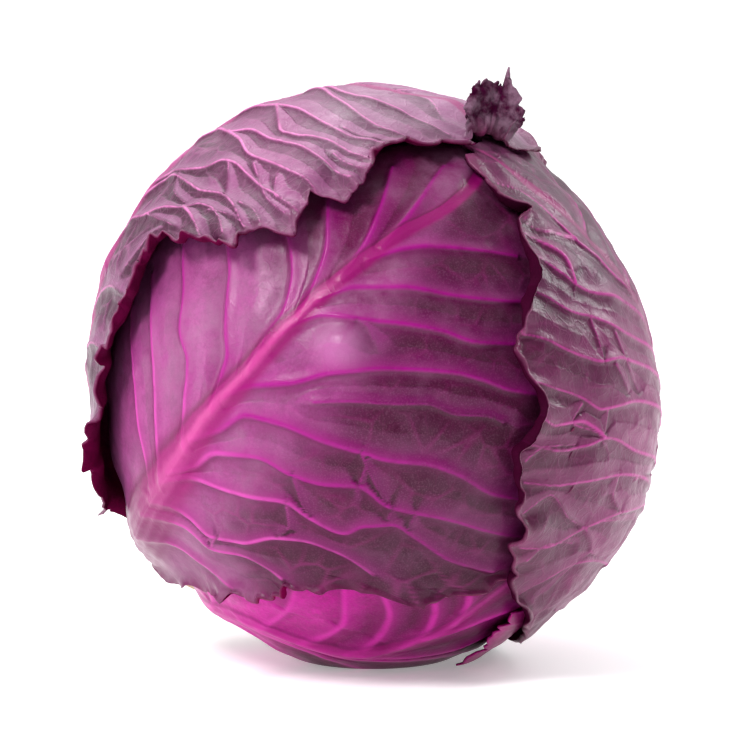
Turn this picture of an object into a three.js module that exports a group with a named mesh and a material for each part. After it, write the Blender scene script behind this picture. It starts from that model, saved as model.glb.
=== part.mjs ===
import * as THREE from 'three';
import { mergeVertices } from 'three/addons/utils/BufferGeometryUtils.js';

// Red cabbage head, lying on one side of its base.
// Millimetres, Z up. The origin is the middle of the flat spot that the head rests on.
// The cut stalk points down and back on the left, the crown up and forward on the right.

// Overall size
const HEAD_RADIUS = 79.0;
const CENTRE_HEIGHT = 78.5;
const REST_BLEND = 1.0;

// Axis from the stalk through the head, the meridian of the front leaf, and the lean of the crown
const AXIS = new THREE.Vector3(0.6577, -0.3488, 0.6677).normalize();
const FRONT = new THREE.Vector3(-0.5346, -0.8406, 0.0875);
const LEAN_AXIS = new THREE.Vector3(-0.2454, -0.9372, -0.2478).normalize();
const CROWN_LEAN = 18.6;
const LEAN_FROM = 50;

// Full and flat places of the head: direction, share of the radius, angular width
const SWELLINGS = [
  { towards: [0.80, 0.0, 0.60], share: -0.030, width: 30 },
  { towards: [0.866, 0.0, -0.50], share: 0.068, width: 30 },
  { towards: [-0.42, 0.0, 0.91], share: 0.020, width: 35 },
  { towards: [-1.0, 0.0, 0.15], share: -0.012, width: 30 },
  { towards: [-0.74, 0.0, -0.67], share: 0.030, width: 30 },
  { towards: [0.0, 0.0, -1.0], share: 0.134, width: 30 },
];

// Depth of each layer of leaves below the outline of the head
const TOP_DEPTH = 0;
const RIGHT_DEPTH = 2.2;
const FRONT_DEPTH = 4.4;
const BACK_DEPTH = 4.4;
const BOTTOM_DEPTH = 6.6;
const HEART_DEPTH = 9.6;

// Leaf blade
const BLADE = 0.9;
const BLADE_AT_BASE = 1.7;
const BLADE_AT_MARGIN = 0.7;
const QUILTING = 0.22;

// Stalk
const STALK_RADIUS = 11.5;
const STALK_END = 84;
const CORE_START = 46;
const CORE_RADIUS = 8.5;
const SOCKET_GAP = 0.35;

// Where tips go past the crown, the turn starts at this angle from the stalk
const TIP_TURN_FROM = 140;

// Colours
const LILAC = 0xa4608f;
const MAUVE = 0x9a7089;
const PLUM = 0x7f4a6b;
const MAGENTA = 0xa3287f;
const MAROON = 0x4a1238;
const CUT_STALK = 0xcfc3a8;

// Leaves. Angles are degrees: the first runs from the stalk (0) to the crown (180),
// the second goes round the head from the midrib of the front leaf.
// tip: degrees that the tip goes past the crown, and the round angle that it goes to;
// stations: where the side veins leave the midrib; sweep: how far they climb towards the margin;
// midrib, left, right: the round angle of the midrib and of both margins;
// liftLeft, liftRight: how far the margins stand off the head in millimetres;
// bulge: two angles, height and radius in millimetres of a rounded swelling of the blade.
const LEAVES = [
  {
    name: 'leaf_front',
    colour: LILAC,
    depth: FRONT_DEPTH,
    tip: [7, 208],
    columns: 18,
    stations: [14, 30, 45, 58, 71, 85, 98, 114, 131, 150, 176],
    sweep: [[14, 2], [30, 8], [59, 20], [73, 26], [98, 29], [114, 22], [131, 14], [150, 4], [176, -4]],
    midrib: [[14, 2], [40, 6], [60, 5], [76, 3], [90, 2], [109, 2], [127, 4], [145, 10], [160, 24], [168, 28]],
    left: [[14, -22], [30, -32], [60, -44], [100, -48], [130, -42], [150, -34], [176, -24]],
    right: [
      [14, 17], [30, 25], [45, 31], [54, 35], [62, 39], [70, 43], [76, 48], [82, 58], [87, 66], [92, 74],
      [100, 80], [125, 80], [145, 76], [160, 74], [176, 64],
    ],
    teeth: { left: 0.0, right: 1.6 },
    liftLeft: [[14, 0], [180, 0]],
    liftRight: [[14, 0.2], [42, 0.4], [60, 1.8], [90, 1.8], [97, 0.2], [180, 0]],
    ridge: [[14, 3.6], [45, 3.8], [60, 3.0], [80, 2.0], [110, 1.3], [140, 0.8], [170, 0.2]],
    ridgeWidth: [[14, 9.5], [45, 8.5], [60, 7.5], [80, 5.0], [110, 3.4], [140, 2.4], [160, 2.0]],
    vein: 0.8,
    bareFrom: -0.75,
    bareTo: 1.1,
    bulge: [118, 15, 3.0, 7.0],
  },
  {
    name: 'leaf_top',
    colour: MAUVE,
    depth: TOP_DEPTH,
    tip: [0, 0],
    columns: 20,
    stations: [14, 34, 53, 70, 84, 97, 112, 130, 150, 175.5],
    sweep: [[14, 0], [40, 10], [70, 22], [95, 30], [112, 28], [130, 20], [150, 8], [175.5, -1.5]],
    midrib: [[14, -60], [60, -60], [84, -62], [100, -67], [115, -74], [125, -80], [140, -88], [160, -97], [175, -104]],
    left: [[14, -92], [26, -110], [50, -122], [90, -128], [130, -140], [150, -156], [163, -182], [175, -190]],
    right: [
      [14, -34], [22, -26], [28, -16], [34, -11], [46, -12], [54, -13], [61, -17], [69, -22], [78, -24], [86, -27],
      [93, -32], [99, -32], [104, -27], [110, -22], [116, -17], [122, -15], [126, -10], [131, -12], [135, -15],
      [139, -11], [146, -12], [150, -14], [155, -21], [160, -24], [163.5, -15], [166.5, -14], [168.5, -21],
      [170, -19], [172.5, -9], [175, -5], [180, -10],
    ],
    teeth: { left: 1.0, right: 1.2 },
    liftLeft: [[14, 0], [40, 1.2], [90, 1.6], [140, 1.0], [165, 0]],
    liftRight: [[14, 0], [30, 1.5], [60, 1.8], [90, 2.4], [120, 2.0], [150, 1.4], [165, 0.6], [175, 0]],
    ridge: [[14, 3.0], [60, 2.2], [100, 1.3], [140, 0.7], [173, 0.3]],
    ridgeWidth: [[14, 9.0], [60, 6.0], [100, 3.6], [140, 2.5], [173, 2.0]],
    vein: 0.8,
    bareFrom: -1.1,
    bareTo: 1.1,
    bulge: [167, -115, 3.5, 11],
    curl: true,
  },
  {
    name: 'leaf_right',
    colour: PLUM,
    depth: RIGHT_DEPTH,
    tip: [8, 300],
    columns: 18,
    stations: [14, 34, 52, 68, 82, 96, 110, 126, 146, 177],
    sweep: [[14, 0], [40, 8], [70, 16], [95, 20], [120, 14], [146, 4], [177, -4]],
    midrib: [[14, 146], [60, 146], [90, 140], [120, 134], [145, 126], [160, 114], [177, 106]],
    left: [
      [14, 118], [30, 128], [48, 136], [60, 127], [70, 113], [83, 93], [90, 80], [96, 72], [103, 70], [107, 66],
      [113, 61], [118, 58], [124, 61], [131, 56], [137, 54], [142, 53], [147, 58], [153, 60],
      [157.5, 63], [160, 76], [162, 58], [165, 58], [168, 64], [171, 62], [174, 65], [180, 66],
    ],
    right: [[14, 172], [30, 184], [60, 194], [100, 197], [140, 195], [160, 192], [177, 190]],
    teeth: { left: 1.2, right: 1.2 },
    liftLeft: [[14, 0], [70, 0.2], [90, 1.8], [120, 2.6], [150, 2.4], [162, 1.0], [172, 0]],
    liftRight: [[14, 0], [40, 1.0], [100, 1.6], [135, 0.6], [150, 0]],
    ridge: [[14, 2.0], [60, 1.8], [100, 1.1], [130, 0.6], [150, 0.3], [167, 0.1]],
    ridgeWidth: [[14, 9.0], [60, 6.0], [100, 3.6], [140, 2.5], [167, 2.0]],
    vein: 0.8,
    bareFrom: -1.1,
    bareTo: 1.1,
  },
  {
    name: 'leaf_bottom',
    colour: MAGENTA,
    depth: BOTTOM_DEPTH,
    tip: [0, 0],
    columns: 20,
    stations: [14, 28, 42, 56, 70, 84, 100, 120],
    sweep: [[14, 0], [40, 8], [56, 14], [84, 16], [100, 4], [120, -16]],
    midrib: [[14, 44], [36, 46], [46, 51], [52, 60], [60, 69], [70, 75], [80, 79], [95, 84], [130, 90]],
    left: [[14, 22], [28, 14], [45, 4], [70, 8], [100, 28], [130, 50]],
    right: [[14, 62], [24, 92], [34, 124], [48, 146], [70, 142], [100, 136], [130, 120]],
    teeth: { left: 0, right: 0 },
    liftLeft: [[14, 0], [180, 0]],
    liftRight: [[14, 0], [180, 0]],
    ridge: [[14, 1.4], [40, 1.6], [60, 1.6], [75, 0.8], [85, 0.2], [120, 0]],
    ridgeWidth: [[14, 5.0], [40, 5.0], [60, 4.6], [80, 4.0], [120, 2.5]],
    vein: 0.5,
    bareFrom: -0.85,
    bareTo: 0.7,
  },
  {
    name: 'leaf_back',
    colour: LILAC,
    depth: BACK_DEPTH,
    tip: [0, 0],
    columns: 14,
    stations: [14, 34, 54, 74, 94, 116, 140, 164],
    sweep: [[14, 0], [40, 8], [70, 18], [100, 20], [125, 10], [164, -6]],
    midrib: [[14, 208], [60, 212], [100, 214], [130, 216], [160, 220]],
    left: [[14, 186], [30, 172], [60, 164], [120, 166], [160, 180]],
    right: [[14, 236], [30, 250], [60, 262], [120, 262], [160, 250]],
    teeth: { left: 0, right: 0 },
    liftLeft: [[14, 0], [180, 0]],
    liftRight: [[14, 0], [180, 0]],
    ridge: [[14, 3.0], [60, 2.4], [90, 1.4], [125, 0.6], [160, 0.2]],
    ridgeWidth: [[14, 9.0], [60, 6.5], [100, 3.6], [160, 2.2]],
    vein: 0.7,
    bareFrom: -0.7,
    bareTo: 0.7,
  },
];

const ROWS_PER_STATION = 4;

// Curled tip of the top leaf, from its left to its right corner: length in millimetres,
// and how far it leans to the right and to the back for each millimetre of height
const CURL_LENGTH = [
  [-1, 4], [-0.9, 6.5], [-0.75, 10.5], [-0.6, 12.4], [-0.42, 13.6], [-0.32, 18.4], [-0.22, 12.4], [-0.12, 12.8],
  [0, 14.4], [0.14, 14.2], [0.22, 13.2], [0.32, 12.4], [0.42, 9.4], [0.53, 5], [0.64, 2.5], [1, 1],
];
const CURL_RIGHT = [
  [-1, 0.46], [-0.75, 1.16], [-0.42, 0.75], [-0.32, 0.46], [-0.22, 0.7], [0, 0.5], [0.32, 0.33], [0.6, 0.3], [1, 0.1],
];
const CURL_BACK = [[-1, -0.6], [-0.75, -0.7], [-0.42, -0.25], [-0.22, 0.1], [0.3, 0.1], [1, 0]];
const CURL_ROWS = [0.14, 0.34, 0.56, 0.78, 1.0];
const CURL_LEAST = 2.0;
const CURL_FOLD = 0.8;
const CURL_HOOK = 1.4;

// Torn scrap of an older leaf between the right leaf and the bottom leaf, hanging to the floor
const SCRAP_COLUMNS = 9;
const SCRAP_ROWS = 5;
const SCRAP_THICKNESS = 0.7;

// Heart: the closed ball of inner leaves, with the steps of their overlapping margins
const HEART_ROWS = 20;
const HEART_COLUMNS = 32;
const HEART_LEAVES = 3;
const HEART_STEP = 1.2;

const CENTRE = new THREE.Vector3(0, 0, CENTRE_HEIGHT);
const SIDE = new THREE.Vector3().crossVectors(AXIS, FRONT).normalize();
const ZERO = new THREE.Vector3().crossVectors(SIDE, AXIS).normalize();

function radians(degrees) {
  return degrees * Math.PI / 180;
}

function smoothstep(from, to, x) {
  const u = Math.min(1, Math.max(0, (x - from) / (to - from)));
  return u * u * (3 - 2 * u);
}

// Smooth curve through hand-set keys [position, value], without overshoot
function curve(keys, x) {
  const last = keys.length - 1;
  if (x <= keys[0][0]) {
    return keys[0][1];
  }
  if (x >= keys[last][0]) {
    return keys[last][1];
  }
  let k = 0;
  while (x > keys[k + 1][0]) {
    k += 1;
  }
  const slope = (a) => (keys[a + 1][1] - keys[a][1]) / (keys[a + 1][0] - keys[a][0]);
  const tangent = (a) => {
    if (a === 0 || a === last) {
      return 0;
    }
    const before = slope(a - 1);
    const after = slope(a);
    return before * after <= 0 ? 0 : 2 * before * after / (before + after);
  };
  const span = keys[k + 1][0] - keys[k][0];
  const u = (x - keys[k][0]) / span;
  const rise = keys[k + 1][1] - keys[k][1];
  const start = tangent(k) * span;
  const end = tangent(k + 1) * span;
  return keys[k][1] + start * u + (3 * rise - 2 * start - end) * u * u
    + (start + end - 2 * rise) * u * u * u;
}

// Direction from the middle of the head for an angle from the stalk and an angle round the head
function direction(theta, phi) {
  const t = radians(theta);
  const p = radians(phi);
  const d = new THREE.Vector3();
  d.addScaledVector(ZERO, Math.sin(t) * Math.cos(p));
  d.addScaledVector(SIDE, Math.sin(t) * Math.sin(p));
  d.addScaledVector(AXIS, -Math.cos(t));
  return d.applyAxisAngle(LEAN_AXIS, radians(CROWN_LEAN) * smoothstep(LEAN_FROM, 180, theta));
}

// Carries a leaf's tip past the crown
function pastCrown(d, theta, tip) {
  const crown = direction(180, 0);
  const ahead = direction(150, tip[1]).sub(crown);
  const pivot = crown.cross(ahead).normalize();
  return d.applyAxisAngle(pivot, radians(tip[0]) * smoothstep(TIP_TURN_FROM, 180, theta));
}

function outlineRadius(d) {
  let share = 1;
  for (const swelling of SWELLINGS) {
    const towards = new THREE.Vector3(...swelling.towards).normalize();
    const spread = 1 - Math.cos(radians(swelling.width));
    share += swelling.share * Math.exp(-(1 - d.dot(towards)) / spread);
  }
  return HEAD_RADIUS * share;
}

// Radius of a layer, flattened where the head rests; free is 0 on the flat spot and 1 away from it
function layer(d, depth) {
  const round = outlineRadius(d) - depth;
  const down = -d.z;
  if (down <= 0.2) {
    return { radius: round, free: 1 };
  }
  const flat = (CENTRE_HEIGHT + BOTTOM_DEPTH - depth) / down;
  const h = Math.min(1, Math.max(0, 0.5 + 0.5 * (flat - round) / REST_BLEND));
  const radius = flat + (round - flat) * h - REST_BLEND * h * (1 - h);
  return { radius, free: smoothstep(REST_BLEND, REST_BLEND + 5, flat - round) };
}

// Gentle pillows of the blade and the ruffle of a margin
function pillows(theta, phi) {
  return QUILTING * (Math.sin(0.31 * theta + 0.12 * phi) + Math.sin(0.23 * phi - 0.17 * theta + 1.7));
}

function ruffle(theta, phi) {
  return 0.6 * Math.sin(0.42 * theta + 0.2 * phi) + 0.4 * Math.sin(0.93 * theta - 0.31 * phi + 2.1);
}

function toothing(theta, phi) {
  return Math.sin(0.85 * theta + 0.35 * phi) + 0.6 * Math.sin(1.9 * theta - 0.2 * phi + 1.2);
}

// Height of the leaf's rounded swelling, where it has one
function bulgeHeight(leaf, d) {
  if (!leaf.bulge) {
    return 0;
  }
  const [theta, phi, height, radius] = leaf.bulge;
  const away = d.angleTo(pastCrown(direction(theta, phi), theta, leaf.tip)) * HEAD_RADIUS;
  return height * Math.exp(-((away / radius) ** 2));
}

// A point of the leaf's middle surface: along runs 0 to 1 from base to tip, across -1 to 1
function bladePoint(leaf, along, across) {
  const stations = leaf.stations.map((theta, index) => [index, theta]);
  const onMidrib = curve(stations, along * (stations.length - 1));
  const out = Math.abs(across);
  const climb = curve(leaf.sweep, onMidrib) * (1 - (1 - out) ** 3);
  const theta = onMidrib + climb;
  const middle = curve(leaf.midrib, theta);
  const side = across < 0 ? leaf.left : leaf.right;
  const teeth = (across < 0 ? leaf.teeth.left : leaf.teeth.right) * smoothstep(30, 55, theta);
  let margin = curve(side, theta);
  margin += Math.sign(across) * teeth * toothing(theta, middle) * smoothstep(0.8, 1, out);
  const phi = middle + (margin - middle) * out;
  const d = pastCrown(direction(theta, phi), theta, leaf.tip);
  const { radius, free } = layer(d, leaf.depth);
  const lift = curve(across < 0 ? leaf.liftLeft : leaf.liftRight, theta);
  const edge = smoothstep(0.7, 1, out);
  let height = pillows(theta, phi) * free + bulgeHeight(leaf, d);
  height += lift * edge * (1 + 0.45 * ruffle(theta, phi));
  const point = CENTRE.clone().addScaledVector(d, radius + height);
  const offMidrib = Math.abs(phi - middle) * Math.PI / 180 * Math.sin(radians(theta)) * radius;
  return { point, d, theta, phi, out, across, offMidrib, free, onMidrib };
}

// Height of midrib and side veins above the blade
function ribHeight(leaf, spot, row) {
  const width = curve(leaf.ridgeWidth, spot.onMidrib);
  const midrib = curve(leaf.ridge, spot.onMidrib) * Math.exp(-((spot.offMidrib / width) ** 2));
  const shift = spot.across < 0 ? ROWS_PER_STATION / 2 : 0;
  const fromVein = Math.abs(((row + shift + ROWS_PER_STATION / 2) % ROWS_PER_STATION) - ROWS_PER_STATION / 2);
  const bare = smoothstep(leaf.bareFrom - 0.15, leaf.bareFrom, spot.across)
    * (1 - smoothstep(leaf.bareTo, leaf.bareTo + 0.15, spot.across));
  const start = smoothstep(0.5, 1.5, row / ROWS_PER_STATION) * (1 - smoothstep(140, 160, spot.onMidrib));
  const vein = leaf.vein * (1 - 0.6 * spot.out) * Math.max(0, 1 - fromVein) * start;
  return (midrib + vein * (0.25 + 0.75 * bare)) * spot.free;
}

function cut(stations) {
  return (stations - 1) * ROWS_PER_STATION;
}

// Columns lie closer together at the midrib
function acrossAt(column, columns) {
  const u = 2 * column / columns - 1;
  return Math.sign(u) * Math.abs(u) ** 1.25;
}

// The standing curl continues the last row of the top leaf
function curlRows(leaf) {
  const rows = [];
  for (const share of CURL_ROWS) {
    const row = [];
    for (let j = 0; j <= leaf.columns; j += 1) {
      const across = acrossAt(j, leaf.columns);
      const edge = bladePoint(leaf, 1, across);
      const before = bladePoint(leaf, 0.985, across);
      const onward = edge.point.clone().sub(before.point).normalize();
      const reach = curve(CURL_LENGTH, across);
      const upright = new THREE.Vector3(curve(CURL_RIGHT, across), curve(CURL_BACK, across), 1).normalize();
      const standing = smoothstep(2, 7, reach);
      const bend = standing * smoothstep(0, 0.35, share);
      const heading = onward.lerp(upright, bend).normalize();
      const length = Math.max(CURL_LEAST, reach) * share;
      const point = edge.point.clone().addScaledVector(heading, length);
      point.x -= CURL_HOOK * standing * smoothstep(0.6, 1, share);
      const fold = CURL_FOLD * Math.sin(11 * across + 2.2 * share) * standing * share;
      point.addScaledVector(edge.d.clone().cross(upright).cross(upright).normalize(), fold);
      row.push({ ...edge, point, row: 0, curled: share });
    }
    rows.push(row);
  }
  return rows;
}

// Unit normals of a grid of points, away from the middle of the head
function gridNormals(points) {
  const rows = points.length;
  const columns = points[0].length;
  const normals = [];
  for (let i = 0; i < rows; i += 1) {
    normals.push([]);
    for (let j = 0; j < columns; j += 1) {
      const down = points[Math.min(rows - 1, i + 1)][j].clone().sub(points[Math.max(0, i - 1)][j]);
      const over = points[i][Math.min(columns - 1, j + 1)].clone().sub(points[i][Math.max(0, j - 1)]);
      normals[i].push(over.cross(down).normalize());
    }
  }
  return normals;
}

// Closed sheet from an outer and an inner grid of points, split into triangles alike on both
function closedSheet(outer, inner, outward) {
  const rows = outer.length;
  const columns = outer[0].length;
  const positions = [];
  const indices = [];
  for (const grid of [outer, inner]) {
    for (const row of grid) {
      for (const point of row) {
        positions.push(point.x, point.y, point.z);
      }
    }
  }
  const at = (i, j, face) => face * rows * columns + i * columns + j;
  const triangle = (a, b, c) => {
    if (outward > 0) {
      indices.push(a, b, c);
    } else {
      indices.push(a, c, b);
    }
  };
  for (let i = 0; i < rows - 1; i += 1) {
    for (let j = 0; j < columns - 1; j += 1) {
      triangle(at(i, j, 0), at(i + 1, j, 0), at(i + 1, j + 1, 0));
      triangle(at(i, j, 0), at(i + 1, j + 1, 0), at(i, j + 1, 0));
      triangle(at(i, j, 1), at(i + 1, j + 1, 1), at(i + 1, j, 1));
      triangle(at(i, j, 1), at(i, j + 1, 1), at(i + 1, j + 1, 1));
    }
  }
  const rim = (a, b) => {
    triangle(at(...a, 0), at(...b, 0), at(...b, 1));
    triangle(at(...a, 0), at(...b, 1), at(...a, 1));
  };
  for (let j = 0; j < columns - 1; j += 1) {
    rim([0, j], [0, j + 1]);
    rim([rows - 1, j + 1], [rows - 1, j]);
  }
  for (let i = 0; i < rows - 1; i += 1) {
    rim([i + 1, 0], [i, 0]);
    rim([i, columns - 1], [i + 1, columns - 1]);
  }
  const geometry = new THREE.BufferGeometry();
  geometry.setAttribute('position', new THREE.Float32BufferAttribute(positions, 3));
  geometry.setIndex(indices);
  return geometry;
}

function leafGeometry(leaf) {
  const rows = cut(leaf.stations.length);
  const spots = [];
  for (let i = 0; i <= rows; i += 1) {
    const row = [];
    for (let j = 0; j <= leaf.columns; j += 1) {
      row.push({ ...bladePoint(leaf, i / rows, acrossAt(j, leaf.columns)), row: i, curled: 0 });
    }
    spots.push(row);
  }
  if (leaf.curl) {
    spots.push(...curlRows(leaf));
  }
  const points = spots.map((row) => row.map((spot) => spot.point));
  const normals = gridNormals(points);
  const outer = [];
  const inner = [];
  for (let i = 0; i < spots.length; i += 1) {
    outer.push([]);
    inner.push([]);
    for (let j = 0; j <= leaf.columns; j += 1) {
      const spot = spots[i][j];
      const rib = spot.curled > 0 ? 0 : ribHeight(leaf, spot, spot.row);
      let thickness = BLADE_AT_BASE + (BLADE - BLADE_AT_BASE) * smoothstep(14, 50, spot.onMidrib);
      thickness += (BLADE_AT_MARGIN - thickness) * Math.max(smoothstep(0.8, 1, spot.out), spot.curled);
      outer[i].push(spot.point.clone().addScaledVector(normals[i][j], rib));
      inner[i].push(spot.point.clone().addScaledVector(normals[i][j], -thickness));
    }
  }
  return closedSheet(outer, inner, -1);
}

// Closed body through rings of points, each end closed by a fan to one point
function ringBody(rings, first, last) {
  const count = rings[0].length;
  const positions = [];
  const indices = [];
  for (const point of [...rings.flat(), first, last]) {
    positions.push(point.x, point.y, point.z);
  }
  const firstIndex = rings.length * count;
  for (let j = 0; j < count; j += 1) {
    const next = (j + 1) % count;
    for (let i = 0; i < rings.length - 1; i += 1) {
      const a = i * count;
      const b = a + count;
      indices.push(a + j, b + next, b + j, a + j, a + next, b + next);
    }
    const end = (rings.length - 1) * count;
    indices.push(firstIndex, next, j);
    indices.push(firstIndex + 1, end + j, end + next);
  }
  const geometry = new THREE.BufferGeometry();
  geometry.setAttribute('position', new THREE.Float32BufferAttribute(positions, 3));
  geometry.setIndex(indices);
  return geometry;
}

// Point round the stalk axis, at a distance from the middle of the head
function roundAxis(phi, radius, distance) {
  const p = radians(phi);
  return CENTRE.clone()
    .addScaledVector(AXIS, -distance)
    .addScaledVector(ZERO, radius * Math.cos(p))
    .addScaledVector(SIDE, radius * Math.sin(p));
}

function ring(count, place) {
  return Array.from({ length: count }, (_, j) => place(j * 360 / count));
}

// Ball of inner leaves with a round socket for the core and a step along each leaf margin
function heartGeometry() {
  const socketRadius = CORE_RADIUS + SOCKET_GAP;
  const socketFloor = CORE_START - SOCKET_GAP;
  const mouth = Math.asin(socketRadius / (HEAD_RADIUS - HEART_DEPTH)) * 180 / Math.PI;
  const rings = [ring(HEART_COLUMNS, (phi) => roundAxis(phi, socketRadius, socketFloor))];
  for (let i = 0; i < HEART_ROWS; i += 1) {
    const theta = mouth + (178 - mouth) * i / (HEART_ROWS - 1);
    const shown = smoothstep(mouth, mouth + 25, theta) * (1 - smoothstep(150, 174, theta));
    rings.push(ring(HEART_COLUMNS, (phi) => {
      const d = direction(theta, phi);
      const turn = ((phi / 360 + 0.12 * theta / 180) * HEART_LEAVES) % 1;
      return CENTRE.clone().addScaledVector(d, layer(d, HEART_DEPTH).radius - HEART_STEP * turn * shown);
    }));
  }
  const crown = direction(180, 0);
  const top = CENTRE.clone().addScaledVector(crown, layer(crown, HEART_DEPTH).radius);
  return ringBody(rings, roundAxis(0, 0, socketFloor), top);
}

// Cut stalk outside the head and its core inside, one solid turned about the axis
function stalkGeometry() {
  const profile = [
    [CORE_RADIUS * 0.8, CORE_START],
    [CORE_RADIUS, CORE_START + 2],
    [CORE_RADIUS, 74],
    [CORE_RADIUS + 1.5, 75.5],
    [STALK_RADIUS, 77],
    [STALK_RADIUS + 0.4, 81],
    [STALK_RADIUS, STALK_END - 1],
    [STALK_RADIUS - 1.2, STALK_END],
  ];
  const rings = profile.map(([radius, distance]) => ring(18, (phi) => {
    const lobes = 1 + 0.03 * Math.sin(radians(5 * phi)) + 0.02 * Math.sin(radians(2 * phi + 40));
    return roundAxis(phi, distance > 74.5 ? radius * lobes : radius, distance);
  }));
  return ringBody(rings.reverse(), roundAxis(0, 0, STALK_END), roundAxis(0, 0, CORE_START));
}

// The scrap runs from a line tucked under the right leaf out to a ragged edge near the floor
function scrapGeometry() {
  const outer = [];
  const inner = [];
  for (let i = 0; i <= SCRAP_ROWS; i += 1) {
    const u = i / SCRAP_ROWS;
    outer.push([]);
    inner.push([]);
    for (let j = 0; j <= SCRAP_COLUMNS; j += 1) {
      const v = j / SCRAP_COLUMNS;
      const theta = 89 - 19 * v + 1.5 * Math.sin(5 * v) * u;
      const phi = 118 - 26 * u + 12 * v * (1 - u) + 1.6 * Math.sin(11 * v) * u;
      const d = direction(theta, phi);
      const { radius } = layer(d, FRONT_DEPTH);
      const hang = 1.8 * v * smoothstep(0.4, 1, u) + 0.5 * Math.sin(9 * v + 1) * u * (1 - u);
      outer[i].push(CENTRE.clone().addScaledVector(d, radius + hang));
      inner[i].push(CENTRE.clone().addScaledVector(d, radius + hang - SCRAP_THICKNESS));
    }
  }
  return closedSheet(outer, inner, 1);
}

function addPiece(group, name, geometry, colour) {
  geometry.deleteAttribute('normal');
  geometry.deleteAttribute('uv');
  const material = new THREE.MeshStandardMaterial({ color: colour, roughness: 0.5, side: THREE.DoubleSide });
  const mesh = new THREE.Mesh(mergeVertices(geometry, 1e-4), material);
  mesh.name = name;
  group.add(mesh);
}

function cabbage() {
  const group = new THREE.Group();
  for (const leaf of LEAVES) {
    addPiece(group, leaf.name, leafGeometry(leaf), leaf.colour);
  }
  addPiece(group, 'torn_scrap', scrapGeometry(), MAROON);
  addPiece(group, 'heart', heartGeometry(), MAROON);
  addPiece(group, 'stalk', stalkGeometry(), CUT_STALK);
  return group;
}

export default cabbage();
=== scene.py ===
import math
from types import SimpleNamespace

import bpy
import numpy as np
from mathutils import Matrix, Vector, kdtree


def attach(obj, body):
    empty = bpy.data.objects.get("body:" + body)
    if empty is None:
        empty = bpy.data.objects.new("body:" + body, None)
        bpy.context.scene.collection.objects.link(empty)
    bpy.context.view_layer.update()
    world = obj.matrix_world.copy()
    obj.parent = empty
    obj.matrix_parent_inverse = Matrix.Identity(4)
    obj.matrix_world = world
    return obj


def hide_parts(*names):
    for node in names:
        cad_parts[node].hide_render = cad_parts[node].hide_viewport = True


# A red cabbage head lying on a white surface. Lengths in the leaf code are millimetres,
# measured from the middle of the flat spot that the head rests on; the meshes are in metres.

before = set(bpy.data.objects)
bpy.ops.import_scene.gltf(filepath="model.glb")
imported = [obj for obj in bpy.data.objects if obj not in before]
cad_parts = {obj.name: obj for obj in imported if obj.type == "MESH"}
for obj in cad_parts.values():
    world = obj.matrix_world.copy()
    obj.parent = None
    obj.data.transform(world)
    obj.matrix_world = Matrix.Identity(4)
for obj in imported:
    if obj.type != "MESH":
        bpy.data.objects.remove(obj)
scene = bpy.context.scene
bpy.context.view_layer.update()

# Overall form of the head: a ball with a few swellings (direction, share of the radius, width in
# degrees), its axis from stalk to crown, and the crown's lean off that axis
HEAD_RADIUS = 79
CENTRE = np.array([0.0, 0.0, 78.5])
REST_BLEND = 1
AXIS = np.array([0.6577, -0.3488, 0.6677])
FRONT = np.array([-0.5346, -0.8406, 0.0875])
LEAN_AXIS = np.array([-0.2454, -0.9372, -0.2478])
CROWN_LEAN = 18.6
LEAN_FROM = 50
TIP_LEAN_FROM = 140
SWELLINGS = [
    ((0.80, 0, 0.60), -0.030, 30),
    ((0.866, 0, -0.50), 0.068, 30),
    ((-0.42, 0, 0.91), 0.020, 35),
    ((-1, 0, 0.15), -0.012, 30),
    ((-0.74, 0, -0.67), 0.030, 30),
    ((0, 0, -1), 0.134, 30),
]
TOP_DEPTH = 0
RIGHT_DEPTH = 2.2
FRONT_DEPTH = 4.4
BACK_DEPTH = 4.4
BOTTOM_DEPTH = 6.6
HEART_DEPTH = 9.6
QUILTING = 0.22

# Blades: thickness, what the base adds to it, and the thickness of margins and curl
BLADE_THICKNESS = 0.85
BASE_EXTRA = 0.9
MARGIN_THICKNESS = 0.55
ROLL_ZONE = 4.5
ROLL_ANGLE = 150
TOOTH_SIZE = 0.35

# Core and stalk, along the axis from the middle of the head towards the stalk
CORE_RADIUS = 8.5
CORE_START = 46
CORE_GAP = 0.35
STALK_END = 84

# Torn scrap: where its held edge starts and what it covers, in degrees
SCRAP_START = (89, 118)
SCRAP_SPAN = (19, 26)
SCRAP_LENGTH = 26
SCRAP_THICKNESS = 0.6

# Camera: how the photograph sees the head
IMAGE_WIDTH = 736
ELEVATION = 8
DISTANCE = 1500
MM_PER_PIXEL = 0.2775
HEAD_AT_PIXEL = (373.5, 378)
SENSOR_WIDTH = 36

RNG = np.random.default_rng(41)


def unit(v):
    v = np.asarray(v, float)
    return v / np.linalg.norm(v, axis=-1, keepdims=True)


AXIS = unit(AXIS)
LEAN_AXIS = unit(LEAN_AXIS)
SIDE = unit(np.cross(AXIS, FRONT))
ZERO = unit(np.cross(SIDE, AXIS))


def smoothstep(a, b, x):
    u = np.clip((np.asarray(x, float) - a) / (b - a), 0, 1)
    return u * u * (3 - 2 * u)


def bell(x, width):
    return np.exp(-(x / width)**2)


def vector(x, y, z):
    return np.stack(np.broadcast_arrays(x, y, z), -1)


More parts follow.
